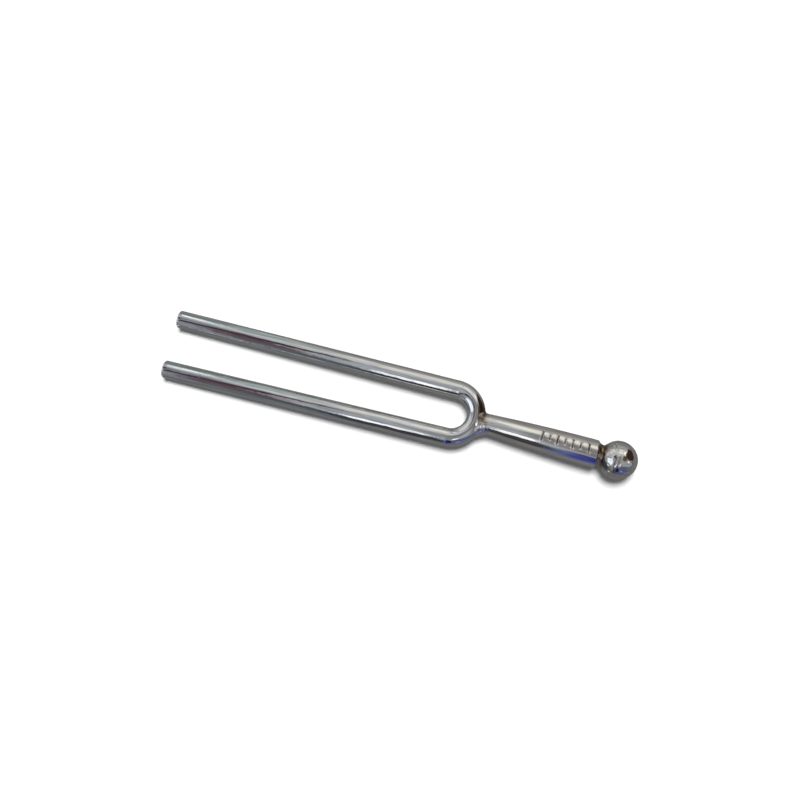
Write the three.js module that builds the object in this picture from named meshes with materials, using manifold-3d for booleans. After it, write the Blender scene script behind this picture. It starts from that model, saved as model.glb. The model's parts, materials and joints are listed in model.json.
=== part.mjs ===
// A round-tined tuning fork for the pitch A, lying on a table on its ball and its two tine tips.
//
// The fork is a round steel bar bent into a U, with a turned stem brazed into its crown and a ball brazed
// onto the stem's end. The bar's two tines bend as they ring. Each swings as if it turned about a point
// a little way up from the bend, so each is a piece of its own from there to its tip.
//
// Units are millimetres. Each piece is made in the fork's own frame: X runs along the fork from the tine
// tips (x = 0) to the ball, Y runs across the two tines, and Z is the normal of the fork's plane. At the end
// the whole fork is tipped to lie on the plane z = 0, with the middle of its box over the origin.

import * as THREE from "three";
import { mergeVertices } from "three/addons/utils/BufferGeometryUtils.js";
import Module from "manifold-3d";

// Driving dimensions
const OVERALL_LENGTH = 122;
const TINE_DIAMETER = 4.6;
const TINE_SPACING = 12.3; // between the bar's centre lines, where the bend starts
const TINE_REACH = 75; // from the tips to the middle of the bend
const TINE_SPREAD = THREE.MathUtils.degToRad(0.5); // each tine leans outwards, towards its tip
const TINE_LENGTH = 62; // of the swinging part: a ringing bar's tip turns about a point this far from it
const TIP_ROUND = 0.45; // radius of the rounded edge at a tine's end face
const STEM_LEAN = THREE.MathUtils.degToRad(1.7); // the stem is brazed on a little askew, towards -Y
const STEM_OFFSET = 0.45; // and a little to one side of the crown, towards -Y
const STEM_ROOT_DIAMETER = 4.9;
const STEM_END_DIAMETER = 6.8;
const NECK_DIAMETER = 5.2;
const NECK_WIDTH = 1.1; // of the groove between the stem and the ball
const SHOULDER_LENGTH = 0.9; // of the bevel from the stem's full diameter down to the neck
const BALL_DIAMETER = 9.5;
const SPIGOT_DIAMETER = 2.4; // at the stem's root, in the crown's socket
const SPIGOT_LENGTH = 2.4;
const SHANK_DIAMETER = 3.2; // on the ball, in the stem's bore
const SHANK_LENGTH = 7;
const JOINT_GAP = 0.3; // between neighbouring pieces

// Derived dimensions
const TINE_RADIUS = TINE_DIAMETER / 2;
const BEND_RADIUS = TINE_SPACING / 2;
const STEM_ROOT_RADIUS = STEM_ROOT_DIAMETER / 2;
const STEM_END_RADIUS = STEM_END_DIAMETER / 2;
const NECK_RADIUS = NECK_DIAMETER / 2;
const BALL_RADIUS = BALL_DIAMETER / 2;
const SPIGOT_RADIUS = SPIGOT_DIAMETER / 2;
const SHANK_RADIUS = SHANK_DIAMETER / 2;
const CROWN_X = TINE_REACH + BEND_RADIUS + TINE_RADIUS; // the outermost point of the bend
const ROOT_X = CROWN_X + JOINT_GAP; // where the stem starts
const BALL_CENTRE = (OVERALL_LENGTH - ROOT_X - BALL_RADIUS) / Math.cos(STEM_LEAN); // along the stem's axis
const STEM_LENGTH = BALL_CENTRE - chordDepth(NECK_RADIUS) - NECK_WIDTH;
const BEND_HALF_ANGLE = Math.PI / 2 - TINE_SPREAD;
const LEG_LENGTH = TINE_REACH / Math.cos(TINE_SPREAD) - JOINT_GAP - TINE_LENGTH; // straight bar on the bend

// Facets
const TINE_SIDES = 32;
const STEM_SIDES = 36;
const BALL_SIDES = 40;
const CROWN_STEPS = 44;

const wasm = await Module();
wasm.setup();

// How far in from the ball's centre, along the stem's axis, its surface lies at this radius from the axis.
function chordDepth(radius) {
  return Math.sqrt(BALL_RADIUS ** 2 - radius ** 2);
}

// Materials
const plated = (colour, roughness) =>
  new THREE.MeshStandardMaterial({ color: colour, roughness, metalness: 1 });
const barSteel = plated(0xb4b8bd, 0.12);
const stemSteel = plated(0xb0aea8, 0.16);
const ballSteel = plated(0xaeb0ae, 0.1);
const brazeFiller = plated(0x7a6248, 0.35);

// A turned solid about the X axis, from [distance along X, radius] pairs.
function turned(profile, sides) {
  const points = profile.map(([along, radius]) => new THREE.Vector2(radius, along));
  return new THREE.LatheGeometry(points, sides).rotateZ(-Math.PI / 2);
}

// The [along, radius] pairs of an arc about a centre on the profile's plane, angles from +X towards +radius.
function arc(centreAlong, centreRadius, radius, from, to, steps) {
  return Array.from({ length: steps + 1 }, (_, i) => {
    const angle = from + ((to - from) * i) / steps;
    return [centreAlong + radius * Math.cos(angle), centreRadius + radius * Math.sin(angle)];
  });
}

// A closed geometry as a manifold-3d solid, and back.
function solid(geometry) {
  const bare = geometry.clone();
  bare.deleteAttribute("normal");
  bare.deleteAttribute("uv");
  const merged = mergeVertices(bare, 1e-4);
  return new wasm.Manifold(
    new wasm.Mesh({
      numProp: 3,
      vertProperties: new Float32Array(merged.attributes.position.array),
      triVerts: new Uint32Array(merged.index.array),
    }),
  );
}

function geometryOf(manifold) {
  const mesh = manifold.getMesh();
  const geometry = new THREE.BufferGeometry();
  geometry.setAttribute("position", new THREE.BufferAttribute(mesh.vertProperties, 3));
  geometry.setIndex(new THREE.BufferAttribute(mesh.triVerts, 1));
  geometry.computeVertexNormals();
  return geometry;
}

function named(name, geometry, material) {
  const mesh = new THREE.Mesh(geometry, material);
  mesh.name = name;
  return mesh;
}

// The bar's centre line round the crown, by its length: a straight leg, the bend, and the other leg.
class CrownPath extends THREE.Curve {
  getPoint(t, target = new THREE.Vector3()) {
    const bendLength = BEND_RADIUS * BEND_HALF_ANGLE;
    const along = (2 * t - 1) * (bendLength + LEG_LENGTH);
    const side = Math.sign(along) || 1;
    const angle = Math.min(Math.abs(along) / BEND_RADIUS, BEND_HALF_ANGLE);
    const leg = Math.max(Math.abs(along) - bendLength, 0);
    const x = TINE_REACH + BEND_RADIUS * Math.cos(angle) - leg * Math.sin(angle);
    const y = side * (BEND_RADIUS * Math.sin(angle) + leg * Math.cos(angle));
    return target.set(x, y, 0);
  }
}

// Puts a piece made along the stem's own axis, from its root, where the stem is.
function alongStem(object) {
  object.position.set(ROOT_X, -STEM_OFFSET, 0);
  object.rotation.z = -STEM_LEAN;
  object.updateMatrix();
  return object;
}

// The tube of the bar round the crown, with a given radius.
function crownTube(radius) {
  const section = new THREE.Shape().absarc(0, 0, radius, 0, 2 * Math.PI);
  const options = { steps: CROWN_STEPS, curveSegments: TINE_SIDES / 2, extrudePath: new CrownPath() };
  return new THREE.ExtrudeGeometry(section, options);
}

// The bend at the crown, with the blind socket that the stem's spigot sits in.
function crown() {
  const socketDepth = SPIGOT_LENGTH + JOINT_GAP;
  const radius = SPIGOT_RADIUS + JOINT_GAP;
  const profile = [[-socketDepth, 0], [-socketDepth, radius], [TINE_RADIUS, radius], [TINE_RADIUS, 0]];
  const socket = alongStem(new THREE.Mesh(turned(profile, TINE_SIDES)));
  const cutter = socket.geometry.applyMatrix4(socket.matrix);
  return named("crown_bend", geometryOf(solid(crownTube(TINE_RADIUS)).subtract(solid(cutter))), barSteel);
}

// One straight tine, from its rounded tip to its root beside the crown's leg. Side is +1 for +Y, -1 for -Y.
function tine(name, side) {
  const legEnd = new CrownPath().getPoint(side > 0 ? 1 : 0);
  const outwards = new THREE.Vector3(-Math.cos(TINE_SPREAD), side * Math.sin(TINE_SPREAD), 0);
  const edge = arc(TIP_ROUND, TINE_RADIUS - TIP_ROUND, TIP_ROUND, Math.PI, Math.PI / 2, 4);
  const profile = [[0, 0], ...edge, [TINE_LENGTH, TINE_RADIUS], [TINE_LENGTH, 0]];
  const mesh = named(name, turned(profile, TINE_SIDES), barSteel);
  mesh.position.copy(legEnd).addScaledVector(outwards, JOINT_GAP + TINE_LENGTH);
  mesh.rotation.z = -side * TINE_SPREAD;
  return mesh;
}

// The stem's radius at a distance from its root: it swells quickly at first, and hardly at all near its end.
function stemRadius(along) {
  const share = along / (STEM_LENGTH - SHOULDER_LENGTH);
  return STEM_ROOT_RADIUS + (STEM_END_RADIUS - STEM_ROOT_RADIUS) * (1 - (1 - share) ** 1.7);
}

// The stem: a spigot, the tapered grip, a bevelled shoulder, and a blind bore for the ball's shank.
function stem() {
  const rings = 12;
  const ringAt = (i) => ((STEM_LENGTH - SHOULDER_LENGTH) * i) / rings;
  const grip = Array.from({ length: rings + 1 }, (_, i) => [ringAt(i), stemRadius(ringAt(i))]);
  const boreRadius = SHANK_RADIUS + JOINT_GAP;
  const boreEnd = STEM_LENGTH - SHANK_LENGTH - 2 * JOINT_GAP;
  const profile = [
    [-SPIGOT_LENGTH, 0],
    [-SPIGOT_LENGTH, SPIGOT_RADIUS],
    [0, SPIGOT_RADIUS],
    ...grip,
    [STEM_LENGTH, NECK_RADIUS],
    [STEM_LENGTH, boreRadius],
    [boreEnd, boreRadius],
    [boreEnd - boreRadius / 2, 0],
  ];
  return alongStem(named("stem", turned(profile, STEM_SIDES), stemSteel));
}

// The ball with its shank, which reaches back into the stem's bore.
function ball() {
  const start = Math.PI - Math.asin(SHANK_RADIUS / BALL_RADIUS);
  const surface = arc(BALL_CENTRE, 0, BALL_RADIUS, start, 0, BALL_SIDES / 2);
  const shankEnd = STEM_LENGTH - SHANK_LENGTH;
  const pole = [BALL_CENTRE + BALL_RADIUS, 0];
  const profile = [[shankEnd, 0], [shankEnd, SHANK_RADIUS], ...surface.slice(0, -1), pole];
  return alongStem(named("ball", turned(profile, BALL_SIDES), ballSteel));
}

// The fillet of brazing filler round the stem's root. It fills the two notches where the crown curves away
// from the stem, thins out along the stem, and is thin above and below the fork's plane.
function stemFillet() {
  const reach = 2.2; // back over the crown
  const tail = 1.4; // out along the stem
  const edge = 0.15; // the filler's least thickness
  const flare = 1.3; // how far it swells towards the crown
  const rings = 8;
  const inner = STEM_ROOT_RADIUS + JOINT_GAP;
  const bandRadius = inner + 2 * edge;
  const outer = Array.from({ length: rings + 1 }, (_, i) => {
    const share = i / rings;
    const along = -reach + (reach + tail) * share;
    return [along, stemRadius(Math.max(along, 0)) + JOINT_GAP + edge + flare * (1 - share) ** 2];
  });
  const profile = [[tail, stemRadius(tail) + JOINT_GAP], [-reach, inner], ...outer];
  const ring = solid(turned([...profile, profile[0]], STEM_SIDES));
  const bandProfile = [[-2 * reach, 0], [-2 * reach, bandRadius], [2 * tail, bandRadius], [2 * tail, 0]];
  const band = solid(turned(bandProfile, STEM_SIDES).scale(1, 2, 1));
  const placed = alongStem(new THREE.Mesh(geometryOf(ring.intersect(band))));
  const blank = placed.geometry.applyMatrix4(placed.matrix);
  const fillet = solid(blank).subtract(solid(crownTube(TINE_RADIUS + JOINT_GAP)));
  return named("stem_braze", geometryOf(fillet), brazeFiller);
}

// The ring of brazing filler in the neck, between the stem's end face and the ball.
function neckRing() {
  const bore = SHANK_RADIUS + JOINT_GAP;
  const rim = NECK_RADIUS - 0.1;
  const waist = NECK_RADIUS - 0.2;
  const near = STEM_LENGTH + JOINT_GAP;
  const far = (radius) => BALL_CENTRE - chordDepth(radius) - JOINT_GAP;
  const steps = 3;
  const ballSide = Array.from({ length: steps + 1 }, (_, i) => rim + ((bore - rim) * i) / steps);
  const throat = [[near, rim], [(near + far(rim)) / 2, waist]];
  const profile = [[near, bore], ...throat, ...ballSide.map((radius) => [far(radius), radius]), [near, bore]];
  return alongStem(named("neck_braze", turned(profile, STEM_SIDES), brazeFiller));
}

const fork = new THREE.Group();
fork.add(crown(), tine("left_tine", 1), tine("right_tine", -1), stem(), ball(), stemFillet(), neckRing());

// The fork lies on the underside of its ball and of its two tips, so its ball end is raised.
const ballX = ROOT_X + BALL_CENTRE * Math.cos(STEM_LEAN);
fork.rotation.y = -Math.asin((BALL_RADIUS - TINE_RADIUS) / (ballX - TIP_ROUND));

const part = new THREE.Group();
part.add(fork);
part.updateMatrixWorld(true);
const box = new THREE.Box3().setFromObject(fork, true);
fork.position.set(-(box.min.x + box.max.x) / 2, -(box.min.y + box.max.y) / 2, -box.min.z);

export default part;
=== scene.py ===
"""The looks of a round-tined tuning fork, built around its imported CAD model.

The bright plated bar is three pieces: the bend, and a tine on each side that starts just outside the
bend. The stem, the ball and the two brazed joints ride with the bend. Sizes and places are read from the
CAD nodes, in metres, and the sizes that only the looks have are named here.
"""
import json
import math

import bmesh
import bpy
import numpy as np
from mathutils import Matrix, Vector, noise


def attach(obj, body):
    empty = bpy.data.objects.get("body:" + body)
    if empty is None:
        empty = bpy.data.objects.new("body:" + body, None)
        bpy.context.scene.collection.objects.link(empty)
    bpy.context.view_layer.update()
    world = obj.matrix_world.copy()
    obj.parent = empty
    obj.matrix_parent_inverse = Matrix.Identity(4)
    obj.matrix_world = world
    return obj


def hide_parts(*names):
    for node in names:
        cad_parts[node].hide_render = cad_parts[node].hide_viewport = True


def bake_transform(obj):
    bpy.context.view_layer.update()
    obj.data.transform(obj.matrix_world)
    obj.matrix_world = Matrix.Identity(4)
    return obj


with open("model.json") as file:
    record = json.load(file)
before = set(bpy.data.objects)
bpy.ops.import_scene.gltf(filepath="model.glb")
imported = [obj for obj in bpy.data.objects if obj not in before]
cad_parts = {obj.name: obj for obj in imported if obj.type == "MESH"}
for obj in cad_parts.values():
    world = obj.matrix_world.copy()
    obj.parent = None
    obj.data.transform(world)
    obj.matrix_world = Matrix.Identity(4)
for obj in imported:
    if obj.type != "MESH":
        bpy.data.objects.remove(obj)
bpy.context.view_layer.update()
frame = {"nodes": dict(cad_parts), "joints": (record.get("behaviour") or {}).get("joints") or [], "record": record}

MM = 0.001
UP = np.array((0.0, 0.0, 1.0))


# ---------------------------------------------------------------- the fork's own frame, from the CAD

JOINTS = {joint["name"]: joint for joint in frame["joints"]}
MOUNTS = {mount["name"]: mount for mount in frame["record"]["mounts"]}


def fork_axes():
    """The fork's own axes as a matrix: X from the tips to the ball, Y across the tines, Z out of its plane.

    The fork's plane is tipped to rest on its tips and its ball, so these aren't quite the row's axes."""
    out_of_plane = Vector(JOINTS["left_tine_flex"]["axis"]).normalized()
    across = Vector((0, 1, 0))
    return np.array(Matrix((across.cross(out_of_plane), across, out_of_plane)))


LEFT_TIP = Vector(MOUNTS["left_tip"]["pos_m"])
AXES = fork_axes()
ORIGIN = np.array((LEFT_TIP.x, 0, LEFT_TIP.z))  # between the two tips


def to_row(points):
    """Points in the fork's own frame, as an array of any shape that ends in 3, in the row's frame."""
    return np.asarray(points) @ AXES + ORIGIN


def to_fork(points):
    """Points in the row's frame, in the fork's own frame."""
    return (np.asarray(points) - ORIGIN) @ AXES.T


def node_points(node):
    """A CAD node's vertices in the fork's own frame."""
    return to_fork([vertex.co for vertex in frame["nodes"][node].data.vertices])


class TurnedNode:
    """The axis of a turned CAD node, and the outline that it was turned from."""

    def __init__(self, node):
        points = node_points(node)
        centre = points.mean(0)
        spread = np.linalg.svd(points - centre, full_matrices=False)[2]
        self.along = spread[0] * math.copysign(1, spread[0][0])
        self.side = np.cross(UP, self.along)
        distance = (points - centre) @ self.along
        radius = np.linalg.norm(points - centre - np.outer(distance, self.along), axis=1)
        self.start = centre + self.along * distance.min()
        self.outline = sorted(set(zip((distance - distance.min()).round(6), radius.round(6))))

    def at(self, distance):
        """The point on the axis at this distance from the node's start."""
        return self.start + self.along * distance

    def spokes(self, angles):
        """Unit vectors square to the axis: 0 is to the left side, and a quarter turn is upwards."""
        return np.outer(np.cos(angles), self.side) + np.outer(np.sin(angles), UP)


# The bar: the line of a tine and the inside of the bend fix the circle that the bend follows.
BAR_RADIUS = np.ptp(node_points("left_tine")[:, 2]) / 2
TIP = to_fork(LEFT_TIP)
HINGE = to_fork(JOINTS["left_tine_flex"]["pos_m"])
SPREAD = math.atan2(TIP[1] - HINGE[1], HINGE[0] - TIP[0])


def bend_circle():
    """The centre's X and the radius of the bar's centre line round the bend."""
    crown = node_points("crown_bend")
    inside = crown[np.abs(crown[:, 1]) < BAR_RADIUS / 3][:, 0].min()
    apex = inside + BAR_RADIUS
    radius = (math.sin(SPREAD) * (TIP[0] - apex) + math.cos(SPREAD) * TIP[1]) / (1 - math.sin(SPREAD))
    return apex - radius, radius


BEND_X, BEND_RADIUS = bend_circle()
BEND_ANGLE = math.pi / 2 - SPREAD  # from the crown's middle to where a tine starts
BEND_LENGTH = BEND_RADIUS * BEND_ANGLE
BAR_LENGTH = BEND_LENGTH + (BEND_X - TIP[0]) * math.cos(SPREAD) + TIP[1] * math.sin(SPREAD)

# The stem and the ball, each by distances along its own axis.
STEM = TurnedNode("stem")
BALL = TurnedNode("ball")


def stem_sizes():
    """The stem's root, shoulder and end along its axis, and the grip's radius as a smooth function."""
    widest = max(radius for _, radius in STEM.outline)
    shoulder = max(distance for distance, radius in STEM.outline if radius > widest - 0.01 * MM)
    end = max(distance for distance, _ in STEM.outline)
    inner = STEM.outline[1][1] + 1 * MM  # the spigot and the bore lie within this radius, the grip outside
    grip = [point for point in STEM.outline if point[1] > inner and point[0] <= shoulder]
    root = min(distance for distance, _ in grip)
    swell = np.polynomial.Polynomial.fit(*zip(*grip), 4)
    return root, shoulder, end, swell


STEM_ROOT, STEM_SHOULDER, STEM_END, GRIP_RADIUS = stem_sizes()
NECK_RADIUS = max(radius for distance, radius in STEM.outline if distance > STEM_END - 0.01 * MM)
BALL_RADIUS = max(radius for _, radius in BALL.outline)
BALL_CENTRE = BALL.at(max(distance for distance, _ in BALL.outline) - BALL_RADIUS)
BALL_NECK = (BALL_CENTRE - BALL.start) @ BALL.along - math.sqrt(BALL_RADIUS**2 - NECK_RADIUS**2)


# ---------------------------------------------------------------- meshes

SHARP = math.radians(40)  # a fold steeper than this is an edge, not part of a smooth surface


def skin(name, rings, flow, material, body, *nodes, slot):
    """A closed smooth mesh over rings of points, with a fan over each end.

    flow has a point for each point of the rings, where it would be if the piece were straight along X:
    materials with a grain follow it."""
    rings = np.asarray(rings)
    flow = np.asarray(flow)
    count, sides = rings.shape[:2]
    points = np.concatenate([rings.reshape(-1, 3), rings[0].mean(0)[None], rings[-1].mean(0)[None]])
    laid = np.concatenate([flow.reshape(-1, 3), flow[0].mean(0)[None], flow[-1].mean(0)[None]])
    faces = []
    for i in range(count - 1):
        for j in range(sides):
            k = (j + 1) % sides
            faces.append((i * sides + j, i * sides + k, (i + 1) * sides + k, (i + 1) * sides + j))
    first, last = count * sides, count * sides + 1
    for j in range(sides):
        k = (j + 1) % sides
        faces.append((first, k, j))
        faces.append((last, (count - 1) * sides + j, (count - 1) * sides + k))
    mesh = bpy.data.meshes.new(name)
    mesh.from_pydata(to_row(points).tolist(), [], faces)
    grain = mesh.attributes.new("flow", "FLOAT_VECTOR", "POINT")
    grain.data.foreach_set("vector", laid.astype(np.float32).ravel())
    shape = bmesh.new()
    shape.from_mesh(mesh)
    bmesh.ops.recalc_face_normals(shape, faces=shape.faces)
    for face in shape.faces:
        face.smooth = True
    for edge in shape.edges:
        edge.smooth = edge.calc_face_angle(0) < SHARP
    shape.to_mesh(mesh)
    shape.free()
    mesh.materials.append(material)
    piece = bpy.data.objects.new(name, mesh)
    bpy.context.scene.collection.objects.link(piece)
    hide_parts(*nodes)
    if body:
        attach(piece, body)
    return piece


def wobble(points, size, depth, seed):
    """A smooth random amount for each point, up to about depth either way, that changes over size."""
    offset = Vector((seed * 3.7, seed * 1.3, seed * 2.1))
    values = [noise.noise(Vector(point) / size + offset) for point in np.reshape(points, (-1, 3))]
    return depth * np.reshape(values, np.shape(points)[:-1])


def smooth_step(value, start, end):
    """0 before start, 1 after end, and an easy curve between. The start may be the larger of the two."""
    share = np.clip((np.asarray(value) - start) / (end - start), 0, 1)
    return share * share * (3 - 2 * share)


def arc(centre, radius, start, end, steps):
    """Points [distance, radius] on an arc in a lengthwise section, by angles in degrees from the axis."""
    angles = np.radians(np.linspace(start, end, steps + 1))
    return [(centre[0] + radius * math.cos(a), centre[1] + radius * math.sin(a)) for a in angles]


# ---------------------------------------------------------------- the bar

BAR_SIDES = 96
SEAM = BEND_LENGTH + 1.5 * MM  # from the crown's middle to where the bend and a tine meet
FLEX_END = BAR_LENGTH * 0.62  # how far along a tine its flexing part would reach; the tines are built straight and not made to bend
TIP_ROUND = 0.38 * MM
DRAWN = 0.006 * MM  # how far the drawn and polished bar wavers from true


def bar_rings(lengths, radii, side):
    """Rings round the bar at these lengths from the crown's middle, on the left (+1) or the right (-1)."""
    lengths = np.asarray(lengths)
    radii = np.asarray(radii)[:, None]
    angle = np.minimum(lengths / BEND_RADIUS, BEND_ANGLE)
    leg = np.maximum(lengths - BEND_LENGTH, 0)
    outwards = np.stack([np.cos(angle), side * np.sin(angle), 0 * angle], -1)
    forwards = np.stack([-np.sin(angle), side * np.cos(angle), 0 * angle], -1)
    centre = np.array((BEND_X, 0, 0)) + outwards * BEND_RADIUS + forwards * leg[:, None]
    turn = np.arange(BAR_SIDES) * 2 * math.pi / BAR_SIDES
    flow = np.stack([side * lengths[:, None] + 0 * turn, np.cos(turn) * radii, np.sin(turn) * radii], -1)
    waver = wobble(flow * (0.4, 1, 1), 3 * MM, DRAWN, 1) * np.minimum(radii / BAR_RADIUS, 1)
    spokes = outwards[:, None] * np.cos(turn)[:, None] + UP * np.sin(turn)[:, None]
    rings = centre[:, None] + spokes * (radii + waver)[..., None]
    return rings, flow


def make_bend(material):
    """The U at the crown, from seam to seam."""
    lengths = np.linspace(0, SEAM, 70)
    radii = np.full(len(lengths), BAR_RADIUS)
    right, right_flow = bar_rings(lengths[:0:-1], radii[1:], -1)
    left, left_flow = bar_rings(lengths, radii, 1)
    rings = np.concatenate([right, left])
    flow = np.concatenate([right_flow, left_flow])
    return skin("bend", rings, flow, material, "handle", "crown_bend", slot="bar")


def make_tine(name, side, material):
    """A straight tine with a rounded tip, from the seam to its end."""
    straight = np.linspace(SEAM, BAR_LENGTH - TIP_ROUND, 90)
    edge = arc((BAR_LENGTH - TIP_ROUND, BAR_RADIUS - TIP_ROUND), TIP_ROUND, 90, 0, 12)[1:]
    face = [(BAR_LENGTH, (BAR_RADIUS - TIP_ROUND) * share) for share in (0.97, 0.8, 0.5, 0.2)]
    outline = [(length, BAR_RADIUS) for length in straight] + edge + face
    lengths, radii = zip(*outline)
    rings, flow = bar_rings(lengths, radii, side)
    body = f"{name}_tine"
    tine = skin(f"tine_{name}", rings, flow, material, None, body, slot="bar")
    root = to_row(bar_rings([SEAM], [0], side)[0][0].mean(0))
    free = to_row(bar_rings([FLEX_END], [0], side)[0][0].mean(0))
    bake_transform(tine)
    return tine


# ---------------------------------------------------------------- the stem, the ball and the brazing

TOP = math.pi / 2  # the angle round the stem's axis of the top of the fork

# A row of plain punched strokes on top of the stem, where the real one is stamped. Each has its distance
# from the stem's root, its length across the stem, how far it leans, and its depth.
STROKES = (
    (14.4 * MM, 2.2 * MM, 0.05, 0.18 * MM),
    (16.3 * MM, 1.1 * MM, -0.04, 0.15 * MM),
    (18.2 * MM, 2.2 * MM, 0.03, 0.20 * MM),
    (20.1 * MM, 1.1 * MM, 0.06, 0.16 * MM),
    (22.0 * MM, 2.2 * MM, -0.05, 0.18 * MM),
    (23.9 * MM, 1.1 * MM, 0.02, 0.15 * MM),
    (25.8 * MM, 2.2 * MM, -0.03, 0.19 * MM),
)
STROKES_LEFT = 0.5 * MM  # from the stem's top line, round to the left
STROKE_HALF = 0.24 * MM
BURR = 0.06 * MM  # the rim that the punch pushes up


def punched(distance, leftwards):
    """How far the punched strokes raise the surface, by distance from the root and from the top line."""
    height = np.zeros(np.broadcast(distance, leftwards).shape)
    across = leftwards - STROKES_LEFT
    for middle, length, lean, depth in STROKES:
        along = np.abs(distance - middle - lean * across)
        beyond = np.maximum(np.abs(across) - length / 2, 0)
        reach = np.hypot(along, beyond)
        height -= depth * smooth_step(reach, STROKE_HALF, STROKE_HALF * 0.2)
        height += BURR * np.exp(-(((reach - STROKE_HALF * 1.35) / (0.13 * MM)) ** 2))
    return height


def add_stroke_darkening(piece, amounts):
    """Give each point of a piece how much darker it is painted, from 0 to 1, and none to the points after."""
    dirt = piece.data.attributes.new("dirt", "FLOAT", "POINT")
    values = np.zeros(len(piece.data.vertices), np.float32)
    values[:amounts.size] = amounts.ravel()
    dirt.data.foreach_set("value", values)


def turned_rings(node, outline, angles):
    """Rings round a turned node's axis, and the same laid along X."""
    distances, radii = (np.array(column) for column in zip(*outline))
    spokes = node.spokes(angles)
    centres = np.array([node.at(distance) for distance in distances])
    rings = centres[:, None] + spokes[None] * radii[:, None, None]
    flow = np.empty_like(rings)
    flow[..., 0] = distances[:, None]
    flow[..., 1] = np.cos(angles) * radii[:, None]
    flow[..., 2] = np.sin(angles) * radii[:, None]
    return rings, flow


HIDDEN_START = 0.6 * MM  # how far the stem reaches into the brazed joint at its root
SHOULDER_LATER = 0.15 * MM  # how far beyond the CAD's shoulder the looks have theirs, on the left
SHOULDER_SLANT = 0.65 * MM  # how much nearer the ball the shoulder is on its right than on its left
SHOULDER_ROUND = 0.4 * MM
STEM_END_RADIUS = NECK_RADIUS + 0.2 * MM  # the filler carries on from here


def make_stem(material):
    """The tapered stem: it starts inside the brazed joint and ends at the neck, with a slanted shoulder."""
    marks = STEM_ROOT + STROKES[0][0] - 1 * MM, STEM_ROOT + STROKES[-1][0] + 1 * MM
    shoulder = STEM_SHOULDER + SHOULDER_LATER
    steps = np.concatenate([
        np.linspace(STEM_ROOT - HIDDEN_START, marks[0], 50)[:-1],
        np.linspace(*marks, 200),
        np.linspace(marks[1], shoulder, 30)[1:],
    ])
    outline = [(distance, float(GRIP_RADIUS(max(distance, STEM_ROOT)))) for distance in steps]
    wide = float(GRIP_RADIUS(STEM_SHOULDER))
    outline += arc((shoulder, wide - SHOULDER_ROUND), SHOULDER_ROUND, 90, 45, 8)[1:]
    start, bottom = outline[-1], (STEM_END, STEM_END_RADIUS)
    for share in np.linspace(0, 1, 9)[1:]:
        outline.append(tuple(start[k] + (bottom[k] - start[k]) * share for k in (0, 1)))
    outline.append((STEM_END + 0.02 * MM, NECK_RADIUS - 0.1 * MM))
    outline.append((STEM_END + 0.02 * MM, NECK_RADIUS * 0.5))
    # The rings are finer over the top, where the strokes are.
    fine = np.linspace(math.radians(40), math.radians(135), 100)
    coarse = np.linspace(math.radians(135), math.radians(400), 82)[1:-1]
    angles = np.concatenate([fine, coarse])
    rings, flow = turned_rings(STEM, outline, angles)
    slant = SHOULDER_SLANT * (1 - np.cos(angles)) / 2
    near = smooth_step(flow[..., 0], shoulder - 5 * MM, shoulder)
    near = np.minimum(near, np.clip((STEM_END - flow[..., 0]) / (STEM_END - shoulder), 0, 1))
    rings = rings + STEM.along * (slant * near)[..., None]
    radii = np.linalg.norm(flow[..., 1:], axis=-1)
    raised = punched(flow[..., 0] - STEM_ROOT, radii * (TOP - angles)[None])
    raised += wobble(flow * (0.5, 1, 1), 2.5 * MM, 0.012 * MM, 3)
    raised *= smooth_step(radii, NECK_RADIUS * 0.6, NECK_RADIUS)
    rings = rings + STEM.spokes(angles)[None] * raised[..., None]
    grip = skin("stem_grip", rings, flow, material, "handle", "stem", slot="stem")
    # the insides of the punched strokes are painted darker
    add_stroke_darkening(grip, smooth_step(-raised, 0.03 * MM, 0.12 * MM))
    return grip


BALL_UNDERSIZE = 0.03 * MM  # keeps the ball's bumps inside the CAD's box


def make_ball(material):
    """The ball, not quite round, with its start hidden in the neck."""
    hidden = math.asin(0.4)  # the angle, seen from the ball's centre, between its axis and where it starts
    polar = np.linspace(math.pi - hidden, 0.02, 90)
    centre = (BALL_CENTRE - BALL.start) @ BALL.along
    outline = [(centre + BALL_RADIUS * math.cos(a), BALL_RADIUS * math.sin(a)) for a in polar]
    angles = np.linspace(0, 2 * math.pi, 128, endpoint=False)
    rings, flow = turned_rings(BALL, outline, angles)
    outwards = (rings - BALL_CENTRE) / BALL_RADIUS
    dents = wobble(outwards, 0.9, 0.05 * MM, 7) + wobble(outwards, 0.13, 0.022 * MM, 8)
    rings = rings + outwards * (dents - BALL_UNDERSIZE)[..., None]
    return skin("end_ball", rings, flow, material, "handle", "ball", slot="ball")


NECK_START, NECK_END = -0.2 * MM, 1.38 * MM  # from the stem's end
NECK_GROOVE = NECK_RADIUS - 0.1 * MM
NECK_SLOPE = 0.42  # how fast the filler narrows from the stem's end to the groove
NECK_TIGHTNESS = 25  # a larger number gives the neck's filler sharper corners


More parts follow.
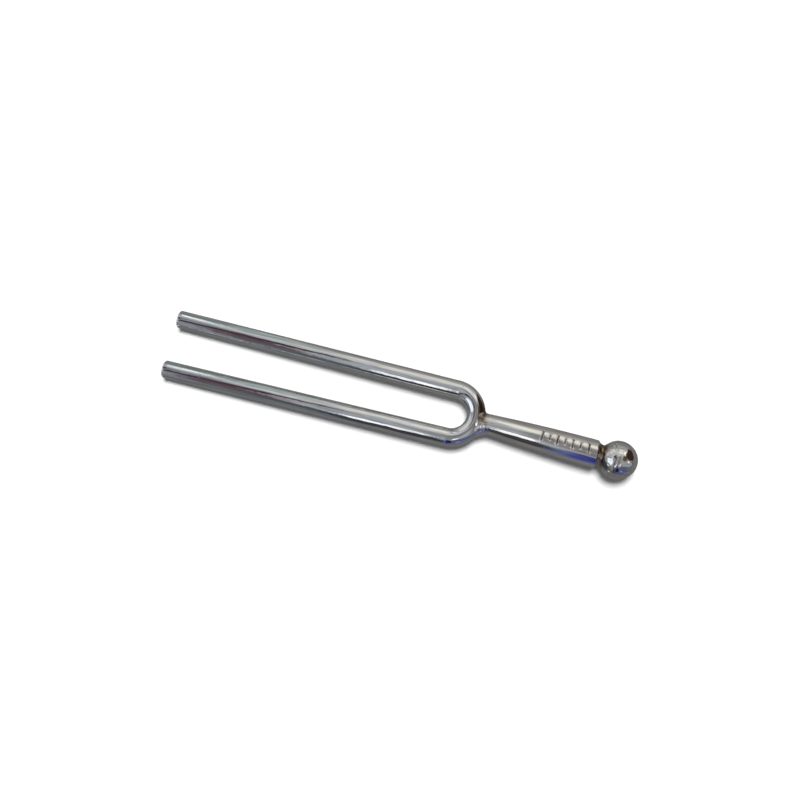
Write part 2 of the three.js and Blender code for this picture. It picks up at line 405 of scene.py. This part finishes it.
def make_neck(material):
    """The filler in the neck: a groove that runs up onto the shoulder and onto the ball, a little lumpy."""
    to_ball = (BALL_CENTRE - STEM.start) @ STEM.along - STEM_END
    beyond = np.linspace(NECK_START, NECK_END, 30)
    surfaces = [
        np.full(len(beyond), NECK_GROOVE),
        STEM_END_RADIUS - NECK_SLOPE * beyond,
        np.sqrt(np.maximum(BALL_RADIUS**2 - (to_ball - beyond) ** 2, 0)),
    ]
    largest = sum((surface / NECK_GROOVE) ** NECK_TIGHTNESS for surface in surfaces) ** (1 / NECK_TIGHTNESS)
    radii = NECK_GROOVE * largest
    outline = [(STEM_END + distance, radius) for distance, radius in zip(beyond, radii)]
    outline = [(outline[0][0], NECK_RADIUS * 0.7)] + outline + [(outline[-1][0], NECK_RADIUS * 0.7)]
    angles = np.linspace(0, 2 * math.pi, 128, endpoint=False)
    rings, flow = turned_rings(STEM, outline, angles)
    lumps = wobble(rings, 0.9 * MM, 0.07 * MM, 5)
    rings = rings + STEM.spokes(angles)[None] * lumps[..., None]
    return skin("neck_ring", rings, flow, material, "handle", "neck_braze", slot="braze")


def on_bar(around, over):
    """Points on the bend's surface, by angle round the bend and angle over the bar, both from the root."""
    reach = BEND_RADIUS + BAR_RADIUS * np.cos(over)
    x, y = BEND_X + reach * np.cos(around), reach * np.sin(around)
    return np.stack([x, y, BAR_RADIUS * np.sin(over)], -1)


def make_fillet(material):
    """The fillet of filler in the corner between the stem and the bend: tight on the left of the stem, and
    wide and full on its right."""
    angles = np.linspace(0, 2 * math.pi, 160, endpoint=False)
    right = ((1 - np.cos(angles)) / 2) ** 2
    spokes = STEM.spokes(angles)
    corner = STEM.at(STEM_ROOT) + spokes * float(GRIP_RADIUS(STEM_ROOT))
    height = corner[:, 2] / BAR_RADIUS
    height /= (1 + height**8) ** (1 / 8)  # the stem is a little thicker than the bar, so this stays under 1
    over = np.arcsin(height)
    corner[:, 0] = BEND_X + np.sqrt((BEND_RADIUS + BAR_RADIUS * np.cos(over)) ** 2 - corner[:, 1] ** 2)
    around = np.arctan2(corner[:, 1], corner[:, 0] - BEND_X)
    wide, high = np.radians(4 + 15 * right), np.radians(9)  # its reach round the bend and over the bar
    foot = on_bar(around + wide * np.cos(angles), over + high * np.sin(angles))
    climb = (0.05 + 1.6 * right) * MM  # how far up the stem the filler reaches
    top = STEM.at(STEM_ROOT) + np.outer(climb, STEM.along)
    top = top + spokes * (GRIP_RADIUS(STEM_ROOT + climb) + 0.01 * MM)[:, None]
    pull = 0.7  # how far the curve from the top to the foot is drawn into the corner
    ends = [top, top + (corner - top) * pull, foot + (corner - foot) * pull, foot]
    shares = np.linspace(0, 1, 30)
    weights = [(1 - shares) ** 3, 3 * (1 - shares) ** 2 * shares, 3 * (1 - shares) * shares**2, shares**3]
    rings = sum(weight[:, None, None] * end for weight, end in zip(weights, ends))
    outwards = rings - STEM.at(STEM_ROOT - 1.5 * MM)
    outwards /= np.linalg.norm(outwards, axis=-1)[..., None]
    middle = (np.sin(shares * math.pi) ** 2)[:, None]
    swell = middle * (0.09 * MM + 0.25 * MM * right + wobble(rings, 1.3 * MM, 0.12 * MM, 2))
    rings = rings + outwards * swell[..., None]
    start = STEM.at(STEM_ROOT) + spokes * 1.5 * MM  # inside the stem, as the last ring is inside the bend
    end = foot + (np.array((BEND_X + BEND_RADIUS, 0, 0)) - foot) * 0.5
    rings = np.concatenate([start[None], rings, end[None]])
    return skin("crown_fillet", rings, rings, material, "handle", "stem_braze", slot="braze")


# ---------------------------------------------------------------- materials

class Nodes:
    """A material's or a room's nodes, made one call at a time."""

    def __init__(self, tree):
        self.nodes, self.links = tree.nodes, tree.links

    def add(self, kind, output=0, settings=None, **inputs):
        """A node with its settings and inputs. A number or tuple is set, and a socket is linked. Names with
        an underscore stand for a space."""
        node = self.nodes.new("ShaderNode" + kind)
        for name, value in (settings or {}).items():
            setattr(node, name, value)
        for name, value in inputs.items():
            key = int(name[1:]) if name[1:].isdigit() else name.replace("_", " ")
            if isinstance(value, bpy.types.NodeSocket):
                self.links.new(value, node.inputs[key])
            else:
                node.inputs[key].default_value = value
        return node.outputs[output]

    def math(self, operation, *values):
        return self.add("Math", settings={"operation": operation},
                        **{f"_{k}": value for k, value in enumerate(values)})

    def vector(self, operation, *values, output=0):
        return self.add("VectorMath", output, {"operation": operation},
                        **{f"_{k}": value for k, value in enumerate(values)})

    def stretch(self, vector, scale):
        """The vector times a scale for each axis."""
        return self.vector("MULTIPLY", vector, scale)

    def noise(self, vector, scale, detail=2.0, roughness=0.5):
        return self.add("TexNoise", Vector=vector, Scale=scale, Detail=detail, Roughness=roughness)

    def between(self, value, start, end, low=0.0, high=1.0):
        """An easy curve from low at start to high at end."""
        return self.add("MapRange", settings={"interpolation_type": "SMOOTHSTEP"}, Value=value,
                        From_Min=start, From_Max=end, To_Min=low, To_Max=high)

    def mix(self, share, first, second):
        """Two colours, mixed."""
        return self.add("Mix", 2, {"data_type": "RGBA"}, _0=share, _6=first, _7=second)


def new_material(name):
    """An empty node material: its nodes and its principled shader."""
    material = bpy.data.materials.new(name)
    material.use_nodes = True
    return material, Nodes(material.node_tree), material.node_tree.nodes["Principled BSDF"]


# Every pattern is laid on the flow attribute, in metres. A scale is in repeats per metre, so 1000 makes
# marks about a millimetre wide, and a stretch under 1 along X draws them out along the grain.
# Real brown staining by the brazed joints; on the bend and the fillet also a painted dark reflection.
STAIN_AND_PAINTED_DARK = (0.14, 0.09, 0.062)
PINHOLE = (0.30, 0.27, 0.24)
THIN_PLATE = (0.84, 0.82, 0.8)  # the plate that has taken on the filler


def finish_metal(nodes, surface, tint, gloss, bump):
    """Make a shader a bare metal of this colour, roughness and relief."""
    surface.inputs["Metallic"].default_value = 1
    nodes.links.new(tint, surface.inputs["Base Color"])
    nodes.links.new(gloss, surface.inputs["Roughness"])
    nodes.links.new(bump, surface.inputs["Normal"])


def plated(name, colour, warm, roughness, grain, stain_and_painted_dark, ground=None):
    """Bright plate, polished along the grain: its colour and its gloss vary a little, it has fine scratches
    along the grain, a few across it, some pinholes and a slight ripple, and it turns brown next to brazed
    joints: real staining, and on the outside of the bend and on the fillet also a painted dark reflection.

    grain is the height of its fine relief. stained(nodes, flow) gives how much of that brown it takes, from 0
    to 1, and ground(nodes, flow) how far it is ground to a satin face and not polished."""
    material, nodes, surface = new_material(name)
    flow = nodes.add("Attribute", 1, {"attribute_name": "flow"})

    clouds = nodes.noise(nodes.stretch(flow, (0.4, 1, 1)), 420, 3)
    tint = nodes.mix(nodes.between(clouds, 0.35, 0.7), (*colour, 1), (*warm, 1))
    streaks = nodes.noise(nodes.stretch(flow, (0.05, 1, 1)), 2400, 3)
    shade = nodes.between(streaks, 0.36, 0.62, 0.8, 1.05)
    tint = nodes.add("VectorMath", 0, {"operation": "SCALE"}, Vector=tint, Scale=shade)
    pits = nodes.add("TexVoronoi", 0, {"feature": "F1"}, Vector=flow, Scale=900)
    pinholes = nodes.between(pits, 0.085, 0.05)
    sparse = nodes.between(nodes.noise(flow, 300, 1), 0.56, 0.66)
    pinholes = nodes.math("MULTIPLY", pinholes, sparse)
    tint = nodes.mix(pinholes, tint, (*PINHOLE, 1))

    polish = nodes.noise(nodes.stretch(flow, (0.03, 1, 1)), 5200, 3, 0.6)
    drawn = nodes.noise(nodes.stretch(flow, (0.012, 1, 1)), 1900, 2, 0.5)
    rub = nodes.noise(nodes.stretch(flow, (1, 0.12, 0.12)), 2600, 2, 0.5)
    rubbed = nodes.math("MULTIPLY", nodes.between(rub, 0.68, 0.8), nodes.between(clouds, 0.45, 0.65))
    gloss = nodes.between(polish, 0.3, 0.75, roughness * 0.75, roughness * 1.5)
    gloss = nodes.math("ADD", gloss, nodes.math("MULTIPLY", rubbed, 0.06))
    gloss = nodes.math("ADD", gloss, nodes.math("MULTIPLY", pinholes, 0.3))

    patchy = nodes.between(nodes.noise(flow, 1100, 3), 0.3, 0.55)
    # Brown here is real staining near the joints, and on the bend and the fillet also a painted dark reflection.
    stain_and_painted_dark_share = nodes.math("MULTIPLY", stain_and_painted_dark(nodes, flow), nodes.math("MULTIPLY_ADD", patchy, 0.45, 0.55))
    tint = nodes.mix(stain_and_painted_dark_share, tint, (*STAIN_AND_PAINTED_DARK, 1))
    gloss = nodes.math("ADD", gloss, nodes.math("MULTIPLY", stain_and_painted_dark_share, 0.2))

    ripple = nodes.noise(nodes.stretch(flow, (0.15, 1, 1)), 1500, 2, 0.5)
    height = nodes.math("ADD", nodes.math("MULTIPLY", polish, 0.2), drawn)
    height = nodes.math("MULTIPLY_ADD", ripple, 2.4, height)
    height = nodes.math("SUBTRACT", height, nodes.math("MULTIPLY", pinholes, 1.5))
    height = nodes.math("SUBTRACT", height, nodes.math("MULTIPLY", rubbed, 0.3))
    strength = 1.0
    if ground:
        faces = ground(nodes, flow)
        gloss = nodes.math("MULTIPLY_ADD", faces, 0.22, gloss)
        strength = nodes.math("MULTIPLY_ADD", faces, -0.93, 1.0)
    bump = nodes.add("Bump", Strength=strength, Distance=grain, Height=height)
    finish_metal(nodes, surface, tint, gloss, bump)
    return material


def ground_tips(nodes, flow):
    """The end faces of the tines and their rounded edges, which are ground and not polished."""
    along = nodes.math("ABSOLUTE", nodes.add("SeparateXYZ", Vector=flow))
    return nodes.between(along, BAR_LENGTH - TIP_ROUND, BAR_LENGTH - 0.05 * MM)


def crown_tarnish_and_dark_reflection(nodes, flow):
    """The outside of the bend next to the stem, more on the left than on the right: tarnish there,
    and a painted dark reflection in the same brown.
    """
    parts = nodes.add("SeparateXYZ", Vector=flow)
    along, out = parts, parts.node.outputs[1]
    left = nodes.between(along, 5.0 * MM, 2.2 * MM)
    right = nodes.between(along, -4.5 * MM, -1.5 * MM)
    outside = nodes.between(out, -0.2 * MM, 1.6 * MM)
    return nodes.math("MULTIPLY", nodes.math("MULTIPLY", left, right), outside)


def stained_ends(start, end):
    """Both ends of a stem, by distances from its start, and the insides of its punched strokes, painted darker."""
    def stain_and_painted_dark(nodes, flow):
        along = nodes.add("SeparateXYZ", Vector=flow)
        root = nodes.between(along, start + 0.9 * MM, start, 0.0, 0.3)
        neck = nodes.between(along, end - 0.5 * MM, end, 0.0, 0.8)
        dirt = nodes.add("Attribute", 2, {"attribute_name": "dirt"})
        return nodes.math("MAXIMUM", nodes.math("MULTIPLY", dirt, 0.85), nodes.math("MAXIMUM", root, neck))
    return stain_and_painted_dark


def stained_start(nodes, flow):
    """The first millimetre of the ball beyond the neck."""
    along = nodes.add("SeparateXYZ", Vector=flow)
    return nodes.between(along, BALL_NECK + 1.1 * MM, BALL_NECK + 0.1 * MM)


def fillet_tarnish_and_dark_reflection(nodes, flow):
    """The left and the top of the fillet, less where it climbs the stem: tarnish, and a painted dark
    reflection in the same brown.
    """
    parts = nodes.add("SeparateXYZ", Vector=flow)
    along, left = parts, parts.node.outputs[1]
    root = float(STEM.at(STEM_ROOT)[0])
    near = nodes.between(along, root + 0.4 * MM, root - 0.7 * MM, 0.25, 1.0)
    return nodes.math("MULTIPLY", near, nodes.between(left, -1.0 * MM, -0.1 * MM))


def brazed(name, colour, dark, plate):
    """Filler metal, plated over thinly: patches of plate, bare brassy metal and brown flux.

    plate is how much of it the plate covers, from 0 to 1."""
    material, nodes, surface = new_material(name)
    flow = nodes.add("Attribute", 1, {"attribute_name": "flow"})
    patches = nodes.noise(flow, 700, 4, 0.6)
    tint = nodes.mix(nodes.between(patches, 0.36, 0.62), (*dark, 1), (*colour, 1))
    covered = nodes.between(nodes.noise(flow, 380, 2), 0.42, 0.6, 0.0, plate)
    tint = nodes.mix(covered, tint, (*THIN_PLATE, 1))
    gloss = nodes.between(patches, 0.3, 0.7, 0.26, 0.12)
    skinned = nodes.noise(flow, 2600, 4, 0.6)
    bump = nodes.add("Bump", Strength=1.0, Distance=0.02 * MM, Height=skinned)
    finish_metal(nodes, surface, tint, gloss, bump)
    return material


# ---------------------------------------------------------------- the studio

CAMERA_AZIMUTH = math.radians(40.09)
CAMERA_ELEVATION = math.radians(79.16)
CAMERA_ROLL = math.radians(-25.55)
CAMERA_DISTANCE = 274.9 * MM
CAMERA_LENS = 48.6  # Blender takes a lens and its sensor in millimetres
CAMERA_SENSOR = 36
AIM_RIGHT = 0.224 * MM  # how far from the middle of the fork the camera looks
AIM_UP = 0.527 * MM


def make_camera():
    """The camera, nearly above the fork, a little to its right and towards its ball."""
    azimuth, elevation = CAMERA_AZIMUTH, CAMERA_ELEVATION
    back = Vector((
        math.sin(azimuth) * math.cos(elevation),
        -math.cos(azimuth) * math.cos(elevation),
        math.sin(elevation),
    ))
    level = Vector((math.cos(azimuth), math.sin(azimuth), 0))
    upright = back.cross(level)
    right = level * math.cos(CAMERA_ROLL) + upright * math.sin(CAMERA_ROLL)
    up = upright * math.cos(CAMERA_ROLL) - level * math.sin(CAMERA_ROLL)
    aim = right * AIM_RIGHT + up * AIM_UP
    data = bpy.data.cameras.new("camera")
    data.lens = CAMERA_LENS
    data.sensor_width = CAMERA_SENSOR
    data.clip_start = 0.01
    camera = bpy.data.objects.new("camera", data)
    turn = Matrix((right, up, back)).transposed().to_4x4()
    camera.matrix_world = Matrix.Translation(aim + back * CAMERA_DISTANCE) @ turn
    bpy.context.scene.collection.objects.link(camera)
    bpy.context.scene.camera = camera


# What the bright plate mirrors: the room round the table. A direction is given by x, its cosine with +X,
# and by its angle across, in degrees from overhead: 90 is level on the left of the fork, and -90 is level
# on its right. The bands are the room's grey by angle across, with how much warmer than grey it is.
BANDS = (
    (-180, 0.16, 0.0), (-120, 0.15, -0.01), (-92, 0.125, -0.03), (-70, 0.18, -0.04), (-50, 0.33, -0.07),
    (-20, 0.33, -0.06), (5, 0.33, -0.05), (18, 0.42, -0.02), (30, 0.56, 0.0), (45, 0.58, 0.0),
    (58, 0.44, 0.01), (72, 0.33, 0.03), (90, 0.23, 0.05), (112, 0.18, 0.03), (180, 0.16, 0.0),
)

# The things in the room, the later over the earlier: name, x and half its width, angle across and half its
# width, how the angle changes with x, the soft edge as a share of its size, and its light.
ROOM = (
    ("ceiling strip", 0.0, 0.50, 48, 8, -6, 1.4, (0.62, 0.60, 0.56)),
    ("cool wall", -0.37, 0.10, 72, 24, 0, 0.9, (0.31, 0.355, 0.35)),
    ("cool corner", -0.36, 0.04, 88, 12, 0, 1.2, (0.15, 0.18, 0.175)),
    ("tip grey", -0.37, 0.04, -32, 42, 0, 0.7, (0.22, 0.222, 0.25)),
    ("warm dark", -0.300, 0.030, -29, 27, 60, 0.7, (0.115, 0.05, 0.06)),
    ("warm grey", -0.262, 0.016, -21, 5, 60, 0.8, (0.3, 0.27, 0.28)),
    ("dark slant", -0.31, 0.06, -9, 6, 190, 1.0, (0.045, 0.038, 0.048)),
    ("grey slant", -0.20, 0.09, -70, 11, -170, 0.9, (0.08, 0.09, 0.105)),
    ("tip glint", -0.35, 0.012, 49, 6, 0, 1.2, (0.92, 0.95, 0.97)),
    ("under lamp", -0.14, 0.05, -76, 18, -60, 0.35, (0.04, 0.04, 0.05)),
    ("table edge", -0.05, 0.06, -122, 16, 0, 0.7, (0.16, 0.15, 0.135)),
    ("near lamp", -0.158, 0.034, -44, 11, 40, 0.25, (0.98, 0.98, 1.0)),
    ("blue cloth", 0.014, 0.085, -78, 33, 0, 0.2, (0.11, 0.13, 0.25)),
    ("blue deep", 0.01, 0.05, -72, 24, 0, 0.35, (0.055, 0.06, 0.25)),
    ("violet cloth", 0.48, 0.30, -72, 22, 0, 0.5, (0.1, 0.105, 0.21)),
    ("violet spot", 0.42, 0.05, -78, 5, 0, 0.8, (0.27, 0.28, 0.45)),
    ("navy corner", 0.09, 0.07, -71, 10, 0, 0.8, (0.012, 0.014, 0.035)),
    ("ball end", 0.03, 0.11, -8, 22, 0, 0.6, (0.2, 0.19, 0.185)),
    ("window", -0.74, 0.16, -27, 22, 0, 0.3, (1.0, 1.06, 1.2)),
    ("window foot", -0.75, 0.06, -75, 8, 0, 0.8, (0.55, 0.62, 0.75)),
    ("dark end", -0.85, 0.2, -112, 26, 0, 0.6, (0.045, 0.05, 0.055)),
    ("small lamp", -0.40, 0.02, -106, 4, 0, 1.0, (0.8, 0.8, 0.8)),
    ("left blind", -0.61, 0.14, 41, 8, 0, 0.4, (0.72, 0.66, 0.57)),
    ("right blind", 0.03, 0.14, 44, 9, 0, 0.4, (0.75, 0.75, 0.68)),
    ("picture", -0.44, 0.05, 8, 9, 0, 0.7, (0.08, 0.06, 0.06)),
    ("spot", 0.18, 0.055, -35, 5, 0, 0.8, (1.0, 1.05, 1.1)),
    ("shelf", 0.47, 0.15, 12, 13, 0, 0.6, (0.1, 0.075, 0.06)),
    ("cupboard", 0.76, 0.20, 62, 36, 0, 0.5, (0.035, 0.022, 0.016)),
    ("warm spot", 0.40, 0.05, 46, 5, 0, 1.0, (1.2, 1.1, 0.98)),
    ("end lamp", 0.86, 0.03, -3, 7, 0, 1.0, (1.1, 0.98, 0.96)),
)
ROOM_GLOW = 1.14
BACKDROP = (1.0, 1.0, 1.0)


def paint(nodes, where, under, patch):
    """One soft-edged patch of the room over the light under it. where is x, the angle across and 1."""
    name, x, half_x, angle, half_angle, slope, soft, light = patch
    aside = nodes.vector("DOT_PRODUCT", where, (1 / half_x, 0, -x / half_x), output="Value")
    row = (-slope / half_angle, 1 / half_angle, (slope * x - angle) / half_angle)
    above = nodes.vector("DOT_PRODUCT", where, row, output="Value")
    both = nodes.add("CombineXYZ", X=aside, Y=above)
    both.node.label = name
    reach = nodes.vector("LENGTH", nodes.vector("MULTIPLY", both, both), output="Value")
    share = nodes.between(reach, (1 + soft) ** 2, 1.0)
    return nodes.vector("MULTIPLY_ADD", nodes.vector("SUBTRACT", light, under), share, under)


def make_room():
    """The room as a world, with a white backdrop behind the floor."""
    world = bpy.data.worlds.new("room")
    bpy.context.scene.world = world
    world.use_nodes = True
    world.cycles_visibility.diffuse = False
    world.cycles.sampling_method = "MANUAL"
    world.cycles.sample_map_resolution = 256
    world.node_tree.nodes.clear()
    nodes = Nodes(world.node_tree)
    look = nodes.add("TexCoord", "Generated")
    x, y, z = nodes.add("SeparateXYZ", Vector=look).node.outputs
    across = nodes.math("DEGREES", nodes.math("ARCTAN2", y, z))
    bands = nodes.add("ValToRGB", Fac=nodes.math("MULTIPLY_ADD", across, 1 / 360, 0.5))
    stops = bands.node.color_ramp.elements
    for angle, grey, warmth in BANDS:
        place = (angle + 180) / 360
        stop = stops[-int(place)] if place in (0, 1) else stops.new(place)
        stop.color = (grey * (1 + warmth), grey, grey * (1 - warmth), 1)
    where = nodes.add("CombineXYZ", X=x, Y=across, Z=1.0)
    light = bands
    for patch in ROOM:
        light = paint(nodes, where, light, patch)
    glow = nodes.add("Background", Color=light, Strength=ROOM_GLOW)
    backdrop = nodes.add("Background", Color=(*BACKDROP, 1))
    seen = nodes.add("LightPath", "Is Camera Ray")
    both = nodes.add("MixShader", _0=seen, _1=glow, _2=backdrop)
    nodes.links.new(both, nodes.nodes.new("ShaderNodeOutputWorld").inputs["Surface"])


FLOOR_WIDTH = 6.0
FLOOR_WHITE = (0.92, 0.92, 0.92)
SUN_AZIMUTH = math.radians(80)
SUN_ZENITH = math.radians(14)
SUN_WIDTH = math.radians(23)
SUN_STRENGTH = 3.4
FILL_WIDTH = math.radians(140)
FILL_STRENGTH = 0.46


def make_sun(name, azimuth, zenith, width, strength):
    """A distant lamp that lights the floor, and that the plate doesn't mirror."""
    sun = bpy.data.lights.new(name, "SUN")
    sun.energy = strength
    sun.angle = width
    lamp = bpy.data.objects.new(name, sun)
    lamp.visible_glossy = False
    lamp.rotation_mode = "QUATERNION"
    towards = Vector((
        math.cos(azimuth) * math.sin(zenith),
        math.sin(azimuth) * math.sin(zenith),
        math.cos(zenith),
    ))
    lamp.rotation_quaternion = towards.to_track_quat("Z", "Y")
    bpy.context.scene.collection.objects.link(lamp)


def make_studio():
    """A white floor that the plate doesn't mirror, a soft sun and a wide, weak fill light from above."""
    half = FLOOR_WIDTH / 2
    mesh = bpy.data.meshes.new("floor")
    corners = [(-half, -half, 0), (half, -half, 0), (half, half, 0), (-half, half, 0)]
    mesh.from_pydata(corners, [], [(0, 1, 2, 3)])
    white, _, surface = new_material("white_paper")
    surface.inputs["Base Color"].default_value = (*FLOOR_WHITE, 1)
    surface.inputs["Roughness"].default_value = 1
    surface.inputs["Specular IOR Level"].default_value = 0
    mesh.materials.append(white)
    floor = bpy.data.objects.new("floor", mesh)
    floor.visible_glossy = False
    bpy.context.scene.collection.objects.link(floor)
    make_sun("soft_sun", SUN_AZIMUTH, SUN_ZENITH, SUN_WIDTH, SUN_STRENGTH)
    make_sun("fill", 0, 0, FILL_WIDTH, FILL_STRENGTH)


make_camera()
bar_plate = plated(
    "bar_plate", colour=(0.855, 0.875, 0.9), warm=(0.885, 0.885, 0.87),
    roughness=0.045, grain=0.011 * MM, stain_and_painted_dark=crown_tarnish_and_dark_reflection, ground=ground_tips,
)
stem_plate = plated(
    "stem_plate", colour=(0.90, 0.895, 0.885), warm=(0.9, 0.88, 0.84),
    roughness=0.06, grain=0.008 * MM, stain_and_painted_dark=stained_ends(STEM_ROOT, STEM_END),
)
ball_plate = plated(
    "ball_plate", colour=(0.82, 0.82, 0.82), warm=(0.79, 0.765, 0.7),
    roughness=0.03, grain=0.012 * MM, stain_and_painted_dark=stained_start,
)
fillet_plate = plated(
    "fillet_plate", colour=(0.96, 0.93, 0.88), warm=(0.92, 0.87, 0.8),
    roughness=0.17, grain=0.012 * MM, stain_and_painted_dark=fillet_tarnish_and_dark_reflection,
)
neck_metal = brazed("neck_metal", colour=(0.55, 0.4, 0.25), dark=(0.16, 0.09, 0.055), plate=0.2)
make_bend(bar_plate)
make_tine("left", 1, bar_plate)
make_tine("right", -1, bar_plate)
make_stem(stem_plate)
make_ball(ball_plate)
make_neck(neck_metal)
make_fillet(fillet_plate)
make_room()
make_studio()
bpy.context.scene.view_settings.view_transform = "Standard"
